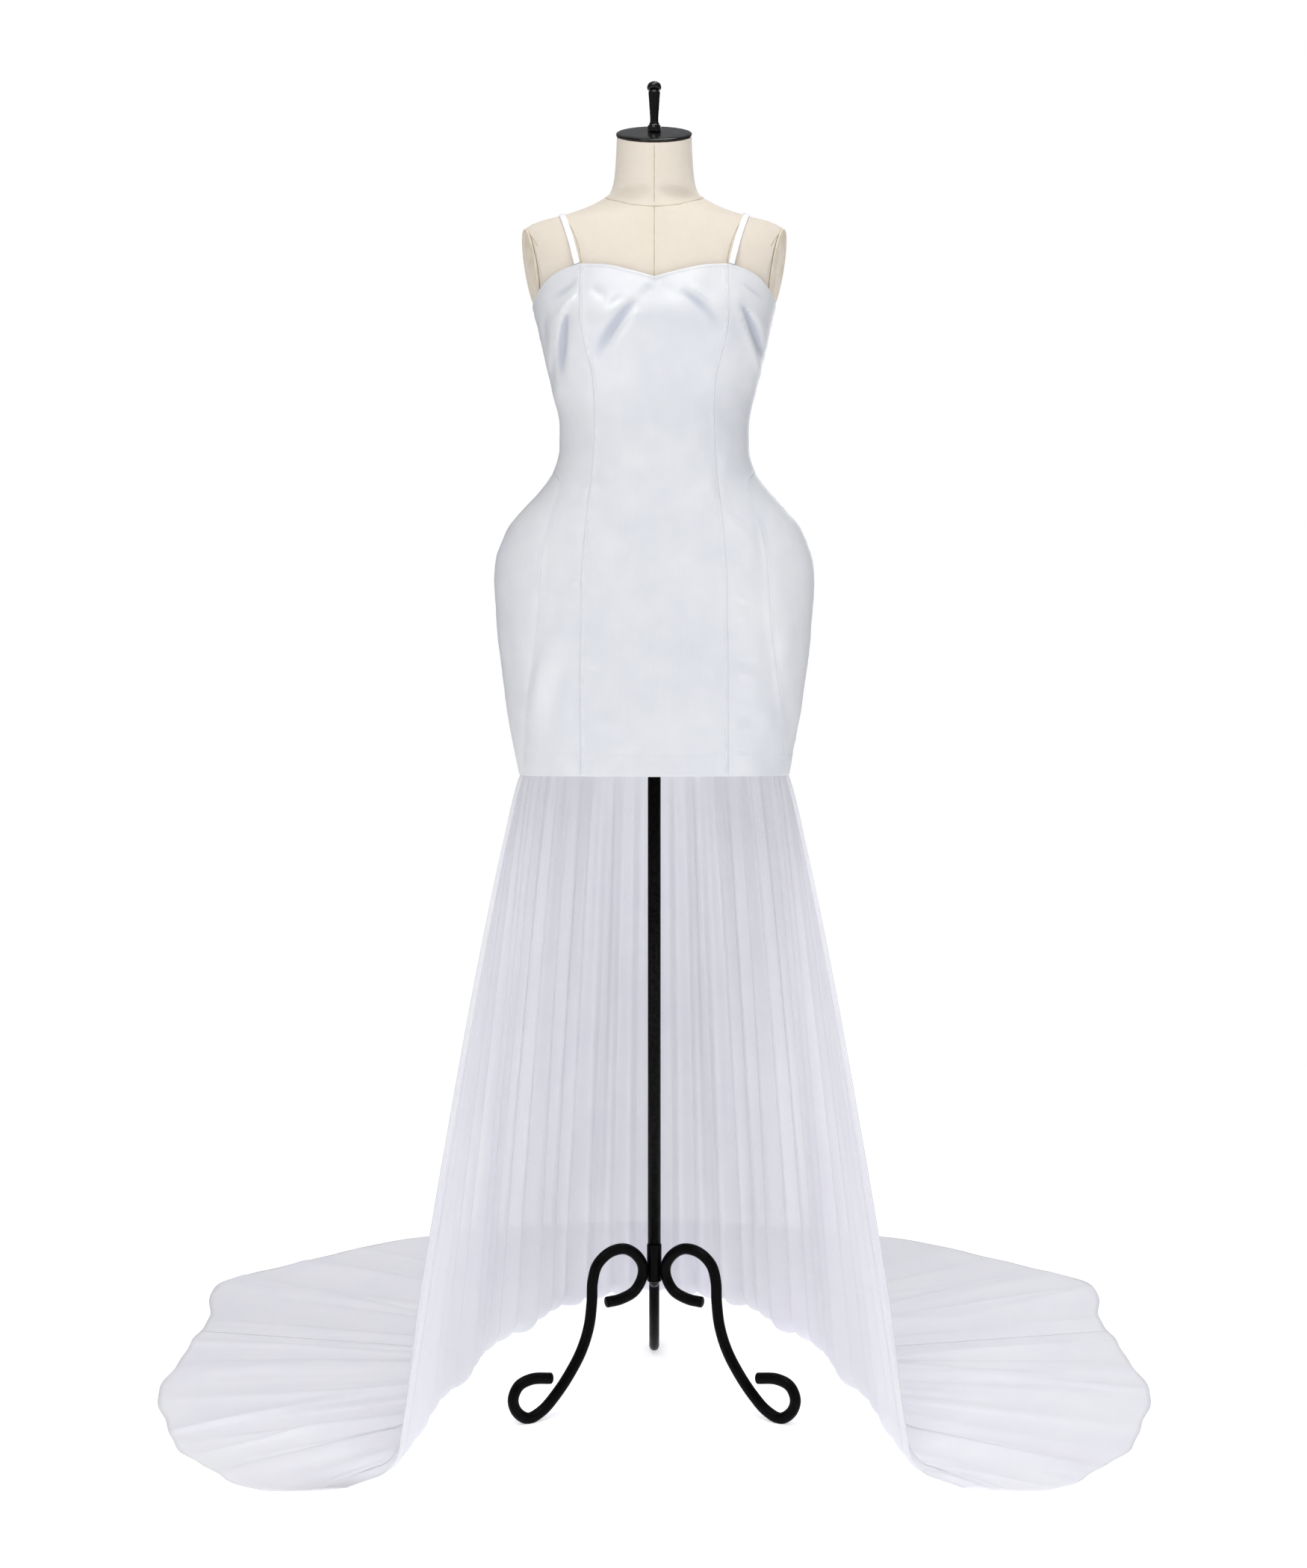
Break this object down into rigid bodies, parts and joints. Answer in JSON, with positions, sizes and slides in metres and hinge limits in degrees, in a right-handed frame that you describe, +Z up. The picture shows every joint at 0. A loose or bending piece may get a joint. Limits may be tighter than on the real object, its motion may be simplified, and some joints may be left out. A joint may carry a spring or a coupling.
{
  "type": "strap mini dress with net train on a limbless dress form with stand",
  "caption": "White satin strap dress with wide hips and a gathered net train, worn on a linen dress form with an iron scroll stand.",
  "frame": {"origin": "middle of the whole footprint, train included, on the floor", "axes": "+Z up, -Y towards the front of the dress, +X to the right as seen from the front; the pole stands 293 mm in front of the origin"},
  "size_m": [1.471, 1.213, 1.829],
  "materials": {
    "satin": "white heavy satin, soft sheen",
    "strap": "white satin rouleau strap",
    "net": "fine white net with a faint lilac cast",
    "linen": "plain cream linen, tightly stretched",
    "arm_plate": "beige brushed cloth over a flat plate",
    "gloss_black": "high gloss black",
    "iron": "black paint, half gloss",
    "zip_metal": "polished"
  },
  "bodies": {
    "dress": {"front_centre": "satin", "front_side_left": "satin", "front_side_right": "satin", "hip_front_left": "satin", "hip_front_right": "satin", "hip_back_left": "satin", "hip_back_right": "satin", "back_side_left": "satin", "back_side_right": "satin", "back_centre_left": "satin", "back_centre_right": "satin", "strap_left": "strap", "strap_right": "strap", "zip_slider": "zip_metal", "net_front_left": "net", "net_front_right": "net", "net_back_left": "net", "net_back_right": "net", "form_torso": "linen", "form_neck": "linen", "form_arm_plate_left": "arm_plate", "form_arm_plate_right": "arm_plate", "neck_cap": "gloss_black", "neck_handle": "gloss_black", "pole": "iron", "stand_sleeve": "iron", "leg_left": "iron", "leg_right": "iron", "leg_back": "iron"},
    "pull": {"zip_pull": "zip_metal"}
  },
  "joints": [
    {"name": "zip_pull_hinge", "type": "hinge", "parent": "dress", "child": "pull", "pos_m": [0, -0.1871, 1.474], "axis": [1, 0, 0], "range_deg": [-8, 170]}
  ]
}
